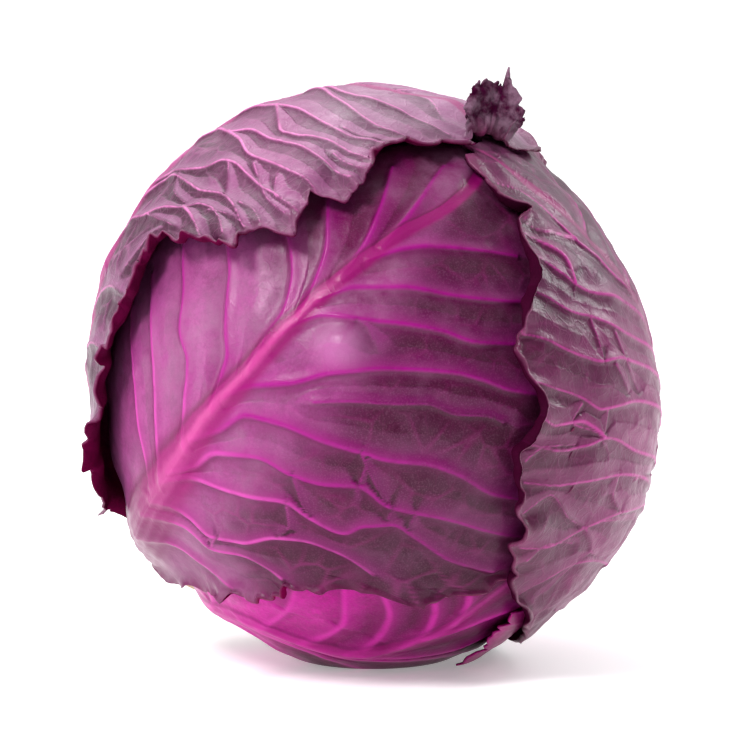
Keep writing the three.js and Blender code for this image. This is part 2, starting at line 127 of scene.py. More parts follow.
def curve(keys, x):
    """Smooth curve through given keys (position, value), without overshoot."""
    k = np.asarray(keys, float)
    x = np.clip(np.asarray(x, float), k[0, 0], k[-1, 0])
    slope = np.diff(k[:, 1]) / np.diff(k[:, 0])
    tangent = np.zeros(len(k))
    product = slope[:-1] * slope[1:]
    total = slope[:-1] + slope[1:]
    safe = np.where(product > 0, total, 1)
    tangent[1:-1] = np.where(product > 0, 2 * product / safe, 0)
    i = np.clip(np.searchsorted(k[:, 0], x, side="right") - 1, 0, len(k) - 2)
    span = k[i + 1, 0] - k[i, 0]
    u = (x - k[i, 0]) / span
    rise = k[i + 1, 1] - k[i, 1]
    start = tangent[i] * span
    end = tangent[i + 1] * span
    return (k[i, 1] + start * u + (3 * rise - 2 * start - end) * u**2
            + (start + end - 2 * rise) * u**3)


def turned(d, axis, degrees):
    """Directions turned about an axis, each by its own angle."""
    a = np.radians(degrees)[..., None]
    along = (d @ axis)[..., None] * axis
    return d * np.cos(a) + np.cross(axis, d) * np.sin(a) + along * (1 - np.cos(a))


def direction(theta, phi):
    """Unit direction for degrees from the stalk and degrees round the head."""
    theta, phi = np.broadcast_arrays(np.asarray(theta, float), np.asarray(phi, float))
    t = np.radians(theta)[..., None]
    p = np.radians(phi)[..., None]
    d = np.sin(t) * (np.cos(p) * ZERO + np.sin(p) * SIDE) - np.cos(t) * AXIS
    return turned(d, LEAN_AXIS, CROWN_LEAN * smoothstep(LEAN_FROM, 180, theta))


CROWN = direction(180, 0)


def past_crown(d, theta, tip):
    """Carries a leaf's tip past the crown: tip is (degrees past it, round angle to go to)."""
    shift, towards = tip
    pivot = unit(np.cross(CROWN, direction(150, towards) - CROWN))
    return turned(d, pivot, shift * smoothstep(TIP_LEAN_FROM, 180, theta))


def outline_radius(d):
    share = np.ones(d.shape[:-1])
    for towards, amount, width in SWELLINGS:
        spread = 1 - math.cos(math.radians(width))
        share = share + amount * np.exp(-(1 - d @ unit(towards)) / spread)
    return HEAD_RADIUS * share


def layer(d, depth):
    """Radius of a layer, flattened where the head rests, and 0 on the flat to 1 away from it."""
    around = outline_radius(d) - depth
    down = np.maximum(-d[..., 2], 0.2)
    flat = (CENTRE[2] + BOTTOM_DEPTH - depth) / down
    h = np.clip(0.5 + 0.5 * (flat - around) / REST_BLEND, 0, 1)
    radius = flat + (around - flat) * h - REST_BLEND * h * (1 - h)
    return radius, smoothstep(REST_BLEND, REST_BLEND + 5, flat - around)


def noise(p, size, seed):
    """Smooth value noise from -1 to 1 with features of the given size."""
    q = np.asarray(p, float) / size + 37 * seed
    cell = np.floor(q).astype(np.int64)
    f = q - cell
    f = f * f * (3 - 2 * f)
    total = np.zeros(q.shape[:-1])
    for corner in range(8):
        o = np.array([corner & 1, corner >> 1 & 1, corner >> 2 & 1])
        c = cell + o
        h = (c[..., 0] * 73856093) ^ (c[..., 1] * 19349663) ^ (c[..., 2] * 83492791)
        h = (h ^ (h >> 13)) * 1274126177
        value = ((h ^ (h >> 16)) & 0xFFFF) / 32767.5 - 1
        w = np.prod(np.where(o == 1, f, 1 - f), axis=-1)
        total = total + w * value
    return total


def pillows(theta, phi):
    return QUILTING * (np.sin(0.31 * theta + 0.12 * phi) + np.sin(0.23 * phi - 0.17 * theta + 1.7))


def ruffle(theta, phi):
    return 0.6 * np.sin(0.42 * theta + 0.2 * phi) + 0.4 * np.sin(0.93 * theta - 0.31 * phi + 2.1)


def toothing(theta, phi):
    return np.sin(0.85 * theta + 0.35 * phi) + 0.6 * np.sin(1.9 * theta - 0.2 * phi + 1.2)


# The leaves. Angles are degrees: from the stalk (0) to the crown (180), and round the head from
# the midrib of the front leaf. Pairs are for the left and the right of the midrib. tip: how far
# past the crown it ends. bulge: place, height and width of a swelling. veins and twigs: side veins
# as lines of such angles. spread: side veins that no photograph shows, as (start, side, climb, reach).
LEVEL = [(0, 0), (180, 0)]
EVEN = [(0, 1), (180, 1)]
PLAIN_LEAF = dict(
    tip=(0, 0), bulge=None, teeth=(0, 0), lift=(LEVEL, LEVEL), crimp=0, roll=(0, 0), scaly=(EVEN, EVEN),
    veins=[], twigs=[], spread=[],
)
LEAF_FRONT = dict(
    PLAIN_LEAF, depth=FRONT_DEPTH, tip=(7, 208), bulge=(118, 15, 3, 7), rows=420, columns=(60, 190),
    stations=[14, 30, 45, 58, 71, 85, 98, 114, 131, 150, 176],
    sweep=[(14, 2), (30, 8), (59, 20), (73, 26), (98, 29), (114, 22), (131, 14), (150, 4), (176, -4)],
    midrib=[
        (14, 2), (40, 6), (60, 5), (76, 3), (90, 2), (109, 2), (127, 4), (145, 10), (160, 24), (168, 28),
    ],
    left=[(14, -22), (30, -32), (60, -44), (100, -48), (130, -42), (150, -34), (176, -24)],
    right=[
        (14, 17), (30, 25), (45, 31), (54, 35), (62, 39), (70, 43), (76, 48), (82, 58), (87, 66), (92, 74),
        (100, 80), (125, 80), (145, 76), (160, 74), (176, 64),
    ],
    teeth=(0, 1.6),
    lift=(LEVEL, [(14, 0.2), (42, 0.4), (60, 1.8), (90, 1.8), (97, 0.2), (180, 0)]),
    crimp=2.2, roll=(0, 0.5),
    ridge=[(14, 3.6), (45, 3.8), (60, 3), (80, 2), (110, 1.3), (140, 0.8), (170, 0.2)],
    ridge_width=[(14, 9.5), (45, 8.5), (60, 7), (80, 4.6), (110, 3), (140, 2.2), (160, 1.8)],
    vein_height=1.5, vein_width=2.2, keen_width=2, line_width=1.1, halo_width=3.6, sharp=0.35, puff=0.7,
    lumps=0.35,
    scaly=([(14, 1), (80, 1.6), (100, 0.8), (180, 0.5)], [(-60, 0.4), (10, 0.5), (26, 1.3), (90, 1.3)]),
    net=0.5, net_cell=9,
    veins=[
        [(40, 6), (48, 14), (52, 24), (56, 34)], [(50, 5), (55, 10), (59, 16), (60, 23), (66, 30), (69, 38)],
        [(56, 5), (60, 9), (62, 14), (63, 21), (68, 26), (76, 30), (80, 35), (82, 41), (83, 50)],
        [(63, 4), (70, 8), (75, 15), (80, 21), (84, 26), (85, 32), (87, 39), (91, 41), (94, 45), (94, 52),
         (93, 61), (94, 72)],
        [(67, 4), (73, 7), (81, 9), (87, 15), (90, 23), (93, 29), (97, 35), (97, 42), (98, 46), (100, 53),
         (101, 64), (102, 78)],
        [(78, 3), (85, 6), (92, 8), (97, 15), (100, 23), (103, 31), (105, 37), (108, 44), (109, 52),
         (108, 62), (109, 78)],
        [(91, 2), (98, 5), (105, 11), (113, 17), (119, 25), (123, 33), (126, 42), (127, 50), (127, 58),
         (128, 76)],
        [(108, 2), (114, 3), (120, 7), (124, 14), (129, 24), (132, 35), (133, 45), (135, 54), (136, 76)],
        [(122, 4), (129, 9), (135, 19), (140, 36), (143, 53), (145, 72)],
        [(136, 7), (146, 20), (151, 38), (153, 60)], [(58, 4), (63, -6), (68, -14), (73, -22), (78, -34)],
        [(63, 4), (68, -2), (78, -15), (83, -23), (88, -36)],
        [(75, 3), (81, -3), (88, -9), (91, -16), (97, -24), (102, -38)],
        [(87, 2), (94, -2), (98, -4), (101, -8), (107, -15), (110, -19), (116, -36)],
        [(100, 2), (108, 0), (114, -1), (119, -4), (122, -7), (128, -24)],
        [(116, 3), (124, 0), (133, -7), (140, -22)], [(129, 4), (138, 3), (144, 0), (150, -6), (156, -18)],
        [(140, 8), (148, 8), (157, 6), (162, 3), (168, -6)],
    ],
    twigs=[
        [(105, 17), (110, 23), (114, 30), (118, 38), (119, 46), (121, 53), (121, 58)],
        [(124, 14), (124.5, 17), (123, 20)], [(96, 35), (100, 34), (103, 33)], [(95, 44), (98, 43)],
        [(99, 48), (95, 49)], [(60, 23), (62, 22), (64, 22)], [(84, 26), (80, 30), (76, 30)],
        [(90, 23), (86, 29), (85, 32)], [(103, 31), (99, 38), (97, 42)],
    ],
)
LEAF_TOP = dict(
    PLAIN_LEAF, depth=TOP_DEPTH, bulge=(167, -115, 3.5, 11), rows=440, columns=(80, 140),
    stations=[14, 34, 53, 70, 84, 97, 112, 130, 150, 175.5],
    sweep=[(14, 0), (40, 10), (70, 22), (95, 30), (112, 28), (130, 20), (150, 8), (175.5, -1.5)],
    midrib=[
        (14, -60), (60, -60), (84, -62), (100, -67), (115, -74), (125, -80), (140, -88), (160, -97),
        (175, -104),
    ],
    left=[(14, -92), (26, -110), (50, -122), (90, -128), (130, -140), (150, -156), (163, -182), (175, -190)],
    right=[
        (14, -34), (22, -26), (28, -16), (34, -11), (46, -12), (54, -13), (61, -17), (69, -22), (78, -24),
        (86, -27), (93, -32), (99, -32), (104, -27), (110, -22), (116, -17), (122, -15), (126, -10),
        (131, -12), (135, -15), (139, -11), (146, -12), (150, -14), (155, -21), (160, -24), (163.5, -15),
        (166.5, -14), (168.5, -21), (170, -19), (172.5, -9), (175, -5), (180, -10),
    ],
    teeth=(1, 1.2),
    lift=(
        [(14, 0), (40, 1.2), (90, 1.6), (140, 1), (165, 0)],
        [(14, 0), (30, 1.5), (60, 1.8), (90, 2.4), (120, 2), (150, 1.4), (165, 0.6), (175, 0)],
    ),
    crimp=1.8, roll=(0.6, 0.7), ridge=[(14, 3), (60, 2), (100, 1.1), (140, 0.6), (173, 0.2)],
    ridge_width=[(14, 9), (60, 5), (100, 2.6), (140, 1.8), (173, 1.4)],
    vein_height=1.9, vein_width=1.2, keen_width=3.4, line_width=0.55, halo_width=3, sharp=0.8, puff=0.35,
    lumps=0.6, scaly=([(14, 1.3), (110, 1.2), (140, 0.6), (180, 0.5)], EVEN), net=0.7, net_cell=9.5,
    veins=[
        [(24, -58), (30, -48), (40, -36), (50, -26), (56, -15)],
        [(38, -60), (46, -54), (56, -46), (64, -36), (72, -24)],
        [(50, -60), (60, -56), (68, -50), (76, -42), (84, -29)],
        [(66, -60), (74, -59), (81, -58), (92, -50), (99, -45), (106, -39), (110, -37), (113, -33),
         (114, -22)],
        [(106, -39), (108, -33), (108, -26)],
        [(80, -62), (92, -60), (102, -55), (108, -46), (111, -41), (116, -36), (118, -31), (119, -20)],
        [(88, -64), (98, -60), (111, -49), (118, -46), (121, -43), (124, -36), (126, -30), (128, -25),
         (130, -14)],
        [(102, -68), (112, -66), (118, -60), (125, -55), (130, -48), (135, -42), (138, -37), (142, -24),
         (144, -14)],
        [(118, -60), (123, -51), (125, -44), (128, -39), (132, -33), (135, -24), (136, -16)],
        [(112, -73), (122, -72), (130, -66), (137, -60), (143, -50), (148, -39), (153, -29), (155, -22)],
        [(130, -66), (133, -51), (137, -45), (143, -38), (148, -25), (150, -16)],
        [(128, -82), (136, -80), (142, -73), (150, -56), (155, -44), (159, -34), (162, -22)],
        [(122, -79), (131, -83), (143, -78), (152, -70), (159, -65), (165, -57), (171, -37)],
        [(138, -87), (146, -93), (154, -96), (163, -90), (168, -76)],
    ],
    twigs=[
        [(126, -39), (126, -32), (126, -26), (128, -16)], [(104, -54), (103, -48), (106, -41)],
        [(120, -44), (119, -39), (117, -35)], [(130, -30), (128, -25), (130, -19)],
        [(120, -28), (122, -23), (122, -18)], [(144, -29), (146, -21), (148, -14)],
        [(148, -43), (153, -34), (157, -25)], [(93, -49), (98, -42), (102, -36)],
        [(112, -33), (116, -28), (119, -22)], [(84, -40), (92, -40), (98, -38)],
    ],
    spread=[
        (40, -1, 20, 60), (56, -1, 24, 62), (70, -1, 28, 64), (84, -1, 30, 62), (97, -1, 28, 60),
        (110, -1, 25, 58), (124, -1, 20, 56), (138, -1, 14, 60), (150, -1, 8, 66),
    ],
)
LEAF_RIGHT = dict(
    PLAIN_LEAF, depth=RIGHT_DEPTH, tip=(8, 300), rows=440, columns=(170, 70),
    stations=[14, 34, 52, 68, 82, 96, 110, 126, 146, 177],
    sweep=[(14, 0), (40, 8), (70, 16), (95, 20), (120, 14), (146, 4), (177, -4)],
    midrib=[(14, 146), (60, 146), (90, 140), (120, 134), (145, 126), (160, 114), (177, 106)],
    left=[
        (14, 118), (30, 128), (48, 136), (60, 127), (70, 113), (83, 93), (90, 80), (96, 72), (103, 70),
        (107, 66), (113, 61), (118, 58), (124, 61), (131, 56), (137, 54), (142, 53), (147, 58), (153, 60),
        (157.5, 63), (160, 76), (162, 58), (165, 58), (168, 64), (171, 62), (174, 65), (180, 66),
    ],
    right=[(14, 172), (30, 184), (60, 194), (100, 197), (140, 195), (160, 192), (177, 190)],
    teeth=(1.2, 1.2),
    lift=(
        [(14, 0), (70, 0.2), (90, 1.8), (120, 2.6), (150, 2.4), (162, 1), (172, 0)],
        [(14, 0), (40, 1), (100, 1.6), (135, 0.6), (150, 0)],
    ),
    crimp=0.9, roll=(1, 0.5),
    ridge=[(14, 2), (60, 1.6), (100, 0.9), (130, 0.5), (150, 0.3), (167, 0.1)],
    ridge_width=[(14, 9), (60, 5), (100, 2.6), (140, 1.8), (167, 1.4)],
    vein_height=1.5, vein_width=1.8, keen_width=3.4, line_width=0.8, halo_width=3, sharp=0.6, puff=0.8,
    lumps=0.4, scaly=([(14, 1.2), (180, 1)], EVEN), net=0.4, net_cell=9.5,
    veins=[
        [(40, 146), (50, 142), (62, 134), (70, 124)],
        [(52, 146), (64, 140), (74, 128), (82, 114), (86, 100)],
        [(64, 146), (74, 140), (84, 128), (94, 111), (98, 97), (96, 87), (91, 80)],
        [(76, 143), (86, 137), (96, 128), (104, 117), (107, 101), (105, 90), (102, 81), (101, 72)],
        [(88, 140), (96, 134), (104, 124), (111, 110), (114, 97), (114, 87), (113, 77), (112, 66)],
        [(96, 139), (104, 131), (112, 118), (117, 104), (121, 89), (120, 83), (119, 76), (119, 62)],
        [(121, 89), (124, 80), (123, 70), (124, 64)],
        [(108, 136), (116, 126), (122, 116), (126, 100), (126, 88), (128, 80), (129, 72), (129, 60)],
        [(118, 134), (126, 122), (132, 106), (134, 96), (134, 90), (135, 82), (136, 74), (137, 66),
         (137, 56)],
        [(124, 133), (132, 120), (138, 104), (140, 98), (142, 89), (143, 79), (145, 69), (146, 60)],
        [(132, 131), (140, 118), (144, 106), (146, 95), (148, 86), (150, 80), (152, 72), (153, 58)],
        [(140, 128), (147, 118), (151, 112), (156, 104), (160, 102), (165, 97), (168, 88), (170, 58)],
        [(156, 104), (158, 89), (159, 76), (161, 66)],
        [(148, 86), (153, 86), (155, 80), (157, 68), (158, 56)],
    ],
    twigs=[
        [(127, 80), (124, 77), (122, 86), (120, 89)], [(126, 90), (122, 89)],
        [(116, 64), (119, 68), (120, 79)], [(112, 105), (110, 121), (115, 124)],
        [(107, 68), (111, 74), (107, 83), (105, 90)], [(105, 90), (106, 97), (103, 112)],
        [(105, 90), (100, 96), (97, 92), (92, 88)], [(100, 96), (94, 111)], [(99, 75), (102, 78), (102, 88)],
        [(138, 100), (133, 102), (127, 107)], [(133, 95), (128, 100)], [(142, 89), (138, 90), (134, 90)],
        [(114, 97), (111, 96), (107, 101)],
    ],
    spread=[
        (40, 1, 20, 44), (56, 1, 22, 46), (70, 1, 24, 50), (84, 1, 24, 52), (98, 1, 22, 54),
        (112, 1, 18, 58), (126, 1, 14, 62), (140, 1, 10, 66), (154, 1, 6, 70),
    ],
)
LEAF_BOTTOM = dict(
    PLAIN_LEAF, depth=BOTTOM_DEPTH, rows=220, columns=(90, 110), stations=[14, 28, 42, 56, 70, 84, 100, 120],
    sweep=[(14, 0), (40, 8), (56, 14), (84, 16), (100, 4), (120, -16)],
    midrib=[(14, 44), (36, 46), (46, 51), (52, 60), (60, 69), (70, 75), (80, 79), (95, 84), (130, 90)],
    left=[(14, 22), (28, 14), (45, 4), (70, 8), (100, 28), (130, 50)],
    right=[(14, 62), (24, 92), (34, 124), (48, 146), (70, 142), (100, 136), (130, 120)],
    ridge=[(14, 1.4), (40, 1.6), (60, 1.6), (75, 0.8), (85, 0.2), (120, 0)],
    ridge_width=[(14, 5), (40, 5), (60, 4.2), (80, 3.2), (120, 2.5)],
    vein_height=0.9, vein_width=2.6, keen_width=2, line_width=1.6, halo_width=5, sharp=0.3, puff=0.3,
    lumps=0.25, net=0.14, net_cell=8,
    veins=[
        [(46, 51), (52, 50), (58, 48), (66, 43), (74, 36)],
        [(52, 60), (60, 60), (67, 57), (74, 50), (80, 42)],
        [(59, 68), (66, 68), (74, 63), (80, 54), (86, 46)],
        [(68, 74), (74, 74), (80, 70), (86, 62), (92, 54)], [(78, 78), (84, 76), (90, 70), (96, 62)],
        [(60, 69), (66, 82), (74, 94), (84, 106)],
    ],
    spread=[(30, 1, 12, 60), (42, 1, 16, 70), (52, 1, 18, 60), (72, 1, 18, 46), (30, -1, 14, 28)],
)
LEAF_BACK = dict(
    PLAIN_LEAF, depth=BACK_DEPTH, rows=200, columns=(70, 70), stations=[14, 34, 54, 74, 94, 116, 140, 164],
    sweep=[(14, 0), (40, 8), (70, 18), (100, 20), (125, 10), (164, -6)],
    midrib=[(14, 208), (60, 212), (100, 214), (130, 216), (160, 220)],
    left=[(14, 186), (30, 172), (60, 164), (120, 166), (160, 180)],
    right=[(14, 236), (30, 250), (60, 262), (120, 262), (160, 250)],
    ridge=[(14, 3), (60, 2.4), (90, 1.4), (125, 0.6), (160, 0.2)],
    ridge_width=[(14, 9), (60, 6), (100, 3.2), (160, 2)], vein_height=1.3, vein_width=2.6, keen_width=2.2,
    line_width=1.5, halo_width=5, sharp=0.4, puff=0.4, lumps=0.5, net=0.25, net_cell=9,
    spread=[
        (36, -1, 18, 40), (50, -1, 22, 42), (64, -1, 24, 44), (78, -1, 24, 44), (94, -1, 22, 42),
        (110, -1, 16, 40), (128, -1, 10, 36), (43, 1, 20, 40), (57, 1, 22, 42), (71, 1, 24, 44),
        (86, 1, 24, 44), (102, 1, 20, 42), (118, 1, 14, 38),
    ],
)

# Curled tip of the top leaf, from its left to its right corner: length in millimetres,
# and how far it leans to the right and to the back for each millimetre of height
CURL_LENGTH = [
    (-1, 4), (-0.9, 6.5), (-0.75, 10.5), (-0.6, 12.4), (-0.42, 13.6), (-0.32, 18.4), (-0.22, 12.4),
    (-0.12, 12.8), (0, 14.4), (0.14, 14.2), (0.22, 13.2), (0.32, 12.4), (0.42, 9.4), (0.53, 5), (0.64, 2.5),
    (1, 1),
]
CURL_RIGHT = [
    (-1, 0.46), (-0.75, 1.16), (-0.42, 0.75), (-0.32, 0.46), (-0.22, 0.7), (0, 0.5), (0.32, 0.33), (0.6, 0.3),
    (1, 0.1),
]
CURL_BACK = [(-1, -0.6), (-0.75, -0.7), (-0.42, -0.25), (-0.22, 0.1), (0.3, 0.1), (1, 0)]
CURL_LEAST = 2
CURL_FOLD = 0.8
CURL_CREASE = 1.5
CURL_HOOK = 1.4
CURL_ROWS = 44


def margin_lobes(place, out):
    """Uneven lobes and notches at the end of a toothed margin."""
    lobes = 1.5 * noise(place, 5, 3) * smoothstep(0.85, 1, out)
    lobes = lobes + 1.1 * noise(place, 2.3, 5) * smoothstep(0.92, 1, out)
    return lobes - 1.5 * np.maximum(noise(place, 1.5, 6) - 0.2, 0) * smoothstep(0.95, 1, out)


def margin_crimp(place, out):
    coarse = noise(place, 3.8, 12) * smoothstep(0.8, 1, out)
    return np.maximum(coarse + 0.5 * noise(place, 1.6, 13) * smoothstep(0.92, 1, out), -0.25)


def blade(leaf, along, across):
    """Middle surface of a leaf: along 0 to 1 from base to tip, across -1 to 1."""
    stations = list(enumerate(leaf["stations"]))
    on_midrib = curve(stations, along * (len(stations) - 1))
    out = np.abs(across)
    theta = on_midrib + curve(leaf["sweep"], on_midrib) * (1 - (1 - out)**3)
    middle = curve(leaf["midrib"], theta)
    left = across < 0
    margin = np.where(left, curve(leaf["left"], theta), curve(leaf["right"], theta))
    teeth = np.where(left, *leaf["teeth"]) * smoothstep(30, 55, theta)
    comb = TOOTH_SIZE * teeth * toothing(theta, middle) * smoothstep(0.8, 1, out)
    place = vector(theta, np.where(left, 50, 0), leaf["depth"])
    lobes = 1.1 * np.minimum(teeth, 1.2) * margin_lobes(place, out)
    margin = margin + np.sign(across) * (comb + lobes)
    # Arc length from the midrib; the last few millimetres roll outwards
    ring = np.radians(1) * np.sin(np.radians(theta)) * HEAD_RADIUS
    half = np.maximum(np.abs(margin - middle) * ring, 1)
    past = np.clip((out - 1) * half + ROLL_ZONE, 0, ROLL_ZONE)
    swing = noise(vector(theta / 9, middle / 9, 0), 1, 7)
    roll = np.where(left, *leaf["roll"]) * np.clip(0.55 + 0.75 * swing, 0.02, 1)
    bend = ROLL_ZONE / (np.radians(ROLL_ANGLE) * roll + 1e-3)
    rolled = bend * np.sin(past / bend)
    rise = bend * (1 - np.cos(past / bend))
    phi = middle + (margin - middle) * (out - (past - rolled) / half)
    d = past_crown(direction(theta, phi), theta, leaf["tip"])
    radius, free = layer(d, leaf["depth"])
    height = pillows(theta, phi) * free
    knuckle = np.zeros_like(height)
    if leaf["bulge"]:
        at_theta, at_phi, bulge, width = leaf["bulge"]
        top = past_crown(direction(at_theta, at_phi), at_theta, leaf["tip"])
        knuckle = bell(np.arccos(np.clip(d @ top, -1, 1)) * HEAD_RADIUS, width)
        height = height + bulge * knuckle
    lift = np.where(left, *(curve(keys, theta) for keys in leaf["lift"]))
    height = height + lift * smoothstep(0.7, 1, out) * (1 + 0.45 * ruffle(theta, phi)) + rise * free
    height = height + leaf["crimp"] * np.minimum(lift, 1.3) * margin_crimp(place, out)
    return {
        "point": CENTRE + d * (radius + height)[..., None], "d": d, "theta": theta, "phi": phi,
        "off_midrib": np.abs(phi - middle) * ring, "to_margin": (1 - out) * half, "across": across,
        "on_midrib": on_midrib, "free": free, "knuckle": knuckle,
    }


def vein_samples(leaf):
    """Points along every side vein on a ball of the head's radius, their taper and crown side."""
    lines = [(line, 1) for line in leaf["veins"]] + [(line, 0.42) for line in leaf["twigs"]]
    for start, side, climb, reach in leaf["spread"]:
        u = np.linspace(0, 1, 7)
        theta = start + climb * (1 - (1 - u)**2.4) + RNG.normal(0, 0.8, 7) * u
        phi = curve(leaf["midrib"], np.full(7, float(start))) + side * reach * u + RNG.normal(0, 0.8, 7)
        lines.append((list(zip(theta, phi)), 1))
    samples = []
    for line, weight in lines:
        q = direction(*np.array(line, float).T) * HEAD_RADIUS
        length = np.concatenate([[0], np.cumsum(np.linalg.norm(np.diff(q, axis=0), axis=1))])
        fine = np.arange(0, length[-1], 0.5)
        smooth = np.stack([curve(list(zip(length, q[:, k])), fine) for k in range(3)], -1)
        upwards = unit(np.cross(smooth, np.gradient(smooth, axis=0)))
        up_sign = np.sign(np.sum(upwards * (CROWN * HEAD_RADIUS - smooth), axis=-1))
        taper = weight * (1 - 0.62 * fine / max(length[-1], 1))
        samples.append((smooth, taper, upwards * up_sign[:, None]))
    return [np.concatenate(part) for part in zip(*samples)]


def nearest(samples, places, count=1):
    tree = kdtree.KDTree(len(samples))
    for i, p in enumerate(samples):
        tree.insert(p, i)
    tree.balance()
    flat = places.reshape(-1, 3)
    distance = np.empty((len(flat), count))
    index = np.empty((len(flat), count), int)
    for i, p in enumerate(flat):
        found = tree.find_n(p, count)
        for k in range(count):
            distance[i, k] = found[k][2]
            index[i, k] = found[k][1]
    shape = places.shape[:-1] + (count,)
    return distance.reshape(shape), index.reshape(shape)


def network(places, spacing, seed):
    """Gap to the lines of a net of small veins, and place in its cells of about that spacing."""
    rng = np.random.default_rng(seed)
    flat = places.reshape(-1, 3)
    low = flat.min(axis=0) - spacing
    high = flat.max(axis=0) + spacing
    area = 4 * math.pi * HEAD_RADIUS**2
    seeds = unit(rng.normal(size=(int(area / spacing**2 * 1.15), 3))) * HEAD_RADIUS
    seeds = seeds[np.all((seeds > low) & (seeds < high), axis=1)]
    distance, _ = nearest(seeds, places, 2)
    return distance[..., 1] - distance[..., 0], distance[..., 0] / spacing


def grid_normals(p):
    return unit(np.cross(np.gradient(p, axis=1), np.gradient(p, axis=0)))


def add_object(name, data):
    thing = bpy.data.objects.new(name, data)
    scene.collection.objects.link(thing)
    return thing


def sheet_mesh(name, outer, inner, masks):
    """Closed sheet between two grids, with one float attribute per mask."""
    rows, columns = outer.shape[:2]
    size = rows * columns
    vertices = np.concatenate([outer.reshape(-1, 3), inner.reshape(-1, 3)]) / 1000
    index = np.arange(size).reshape(rows, columns)
    a, b, c, e = index[:-1, :-1], index[1:, :-1], index[1:, 1:], index[:-1, 1:]
    front = np.stack([a, e, c, b], -1).reshape(-1, 4)
    back = np.stack([a, b, c, e], -1).reshape(-1, 4) + size
    loop = np.concatenate([index[0, :-1], index[:-1, -1], index[-1, :0:-1], index[:0:-1, 0]])
    after = np.roll(loop, -1)
    rim = np.stack([after, loop, loop + size, after + size], -1)
    faces = np.concatenate([front, back, rim])
    mesh = bpy.data.meshes.new(name)
    mesh.vertices.add(len(vertices))
    mesh.vertices.foreach_set("co", vertices.ravel())
    mesh.loops.add(faces.size)
    mesh.loops.foreach_set("vertex_index", faces.ravel())
    mesh.polygons.add(len(faces))
    mesh.polygons.foreach_set("loop_start", np.arange(0, faces.size, 4))
    mesh.update(calc_edges=True)
    mesh.validate()
    mesh.polygons.foreach_set("use_smooth", np.ones(len(faces), bool))
    for key, value in masks.items():
        under = value if key != "face" else np.zeros_like(value)
        attribute = mesh.attributes.new(key, "FLOAT", "POINT")
        attribute.data.foreach_set("value", np.concatenate([value.ravel(), under.ravel()]))
    return add_object(name, mesh)


def curl(leaf, across, steps):
    """The standing curl that continues the last row of the top leaf, and where it stands up."""
    edge = blade(leaf, np.ones_like(across), across)
    before = blade(leaf, np.full_like(across, 0.985), across)
    onward = unit(edge["point"] - before["point"])
    reach = curve(CURL_LENGTH, across)
    spikes = 1.3 * noise(vector(across * 26, 0, 0), 1, 11)
    standing = smoothstep(2, 7, reach)
    upright = unit(vector(curve(CURL_RIGHT, across), curve(CURL_BACK, across), 1))
    side = unit(np.cross(np.cross(edge["d"], upright), upright))
    rows = []
    for share in steps:
        bend = (standing * smoothstep(0, 0.35, share))[:, None]
        heading = unit(onward * (1 - bend) + upright * bend)
        length = np.maximum(CURL_LEAST, reach + spikes * standing * share) * share
        point = edge["point"] + heading * length[:, None]
        point[:, 0] -= CURL_HOOK * standing * smoothstep(0.6, 1, share)
        crease = np.abs(noise(point, 3.6, 14)) - 0.3 + 0.5 * (np.abs(noise(point, 1.7, 15)) - 0.3)
        fold = CURL_FOLD * np.sin(11 * across + 2.2 * share) * share
        fold = (fold + CURL_CREASE * crease * smoothstep(0.1, 0.5, share)) * standing
        rows.append(point + side * fold[:, None])
    return np.array(rows), standing


def vein_field(name, leaf, spot):
    """For each point of a leaf: way to the nearest side vein, its taper and side, and the net."""
    ball = spot["d"] * HEAD_RADIUS
    samples, taper, crownward = vein_samples(leaf)
    distance, index = nearest(samples, ball)
    found = index[..., 0]
    offset = np.sum((ball - samples[found]) * crownward[found], axis=-1)
    gap, cell = network(ball, leaf["net_cell"], len(name))
    return {"reach": distance[..., 0], "taper": taper[found], "gap": gap, "cell": cell,
            "crown_side": np.clip(offset / 0.8, -1, 1)}


def leaf_relief(leaf, spot):
    """Height of midrib, veins, net and puckers, and the masks that go with them."""
    reach, taper, on_midrib = spot["reach"], spot["taper"], spot["on_midrib"]
    flank = reach * (1.15 - 0.45 * spot["crown_side"])
    soft = bell(flank, leaf["vein_width"] * (0.35 + 0.65 * taper))
    keen = np.exp(-flank / leaf["keen_width"])
    ridge = (1 - leaf["sharp"]) * soft + leaf["sharp"] * keen
    start = smoothstep(16, 34, on_midrib) * (1 - 0.7 * smoothstep(150, 166, on_midrib))
    fade = smoothstep(0, 5, spot["to_margin"] + 1.5)
    relief = leaf["vein_height"] * (0.3 + 0.7 * taper) * ridge * start * fade
    skirt = 1 - bell(reach, 5)
    scaly = curve(leaf["scaly"][0], spot["theta"]) * curve(leaf["scaly"][1], spot["phi"])
    calm = smoothstep(36, 62, on_midrib) * skirt
    swell = 0.5 * bell(spot["gap"], 1.5) + 0.9 * (1 - smoothstep(0, 0.55, spot["cell"]))
    relief = relief + leaf["net"] * scaly * calm * swell
    relief = relief + leaf["puff"] * skirt * smoothstep(24, 60, on_midrib)
    relief = relief + leaf["lumps"] * (noise(spot["point"], 8, 2) + 0.3 * noise(spot["point"], 3.4, 4))
    rib = curve(leaf["ridge"], on_midrib)
    rib_width = curve(leaf["ridge_width"], on_midrib)
    midrib = bell(spot["off_midrib"], rib_width)
    grooves = 0.04 * np.sin(spot["off_midrib"] * 1.9 + 0.6)
    spot["net"] = calm * bell(spot["gap"], 0.75) * np.minimum(scaly, 1.5) / 1.5
    spot["midrib"] = midrib
    spot["rib_side"] = np.sign(spot["across"]) * spot["off_midrib"] / rib_width
    return (relief * (1 - 0.75 * midrib) + rib * midrib * (1 + grooves)) * spot["free"]


